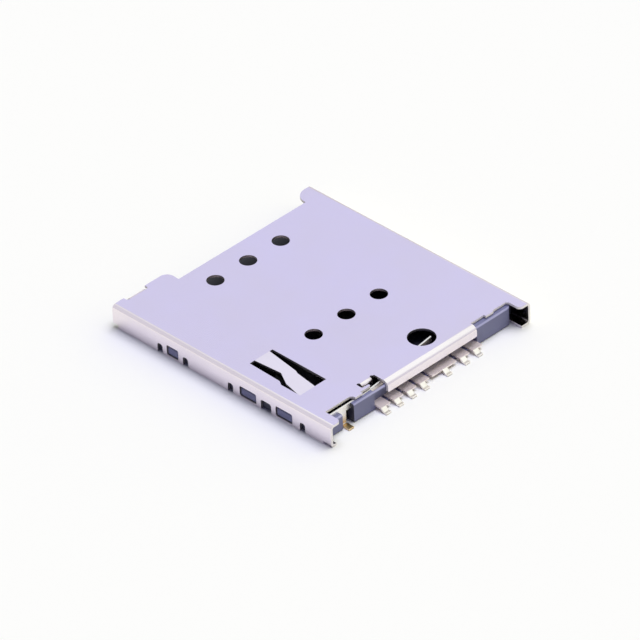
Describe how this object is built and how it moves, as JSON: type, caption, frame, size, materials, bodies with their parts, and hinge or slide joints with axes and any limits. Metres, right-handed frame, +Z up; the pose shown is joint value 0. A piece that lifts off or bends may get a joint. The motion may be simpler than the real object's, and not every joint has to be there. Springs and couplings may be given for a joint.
{
  "type": "sim card socket",
  "caption": "Low-profile push-push card socket: folded steel shell over a plastic base with spring contacts, solder tails, card switch and a sprung heart-cam slider.",
  "frame": {"origin": "middle of the socket's footprint, on the board", "axes": "+Z up off the board, +Y along the card's way in towards the solder tails, +X towards the slider's side"},
  "size_m": [0.0154, 0.017, 0.0014],
  "materials": {
    "shell_steel": "satin rolled stainless sheet, stamped",
    "housing_plastic": "matt moulded high-temperature plastic, slate grey",
    "contact_gold": "pale gold flash over spring bronze",
    "slider_plastic": "matt moulded plastic, black",
    "wire_steel": "drawn stainless wire"
  },
  "bodies": {
    "base": {"shell": "shell_steel", "housing": "housing_plastic", "contact_c1": "contact_gold", "contact_c2": "contact_gold", "contact_c3": "contact_gold", "contact_c5": "contact_gold", "contact_c6": "contact_gold", "contact_c7": "contact_gold", "switch_leaf": "contact_gold", "switch_terminal": "contact_gold", "eject_spring": "wire_steel"},
    "slider": {"slider": "slider_plastic"},
    "cam_pin": {"cam_pin": "wire_steel"}
  },
  "joints": [
    {"name": "slider_slide", "type": "slide", "parent": "base", "child": "slider", "axis": [0, 1, 0], "range_m": [0, 0.0026], "stiffness_N_per_m": 300, "deforming": ["eject_spring"]},
    {"name": "cam_pin_swing", "type": "hinge", "parent": "base", "child": "cam_pin", "pos_m": [0.00559, 0.00651, 0.00084], "axis": [0, 0, 1], "range_deg": [0, 6.8]}
  ],
  "couplings": [
    {"joint": "cam_pin_swing", "follows": "slider_slide", "rad_per_m": 45.15}
  ]
}
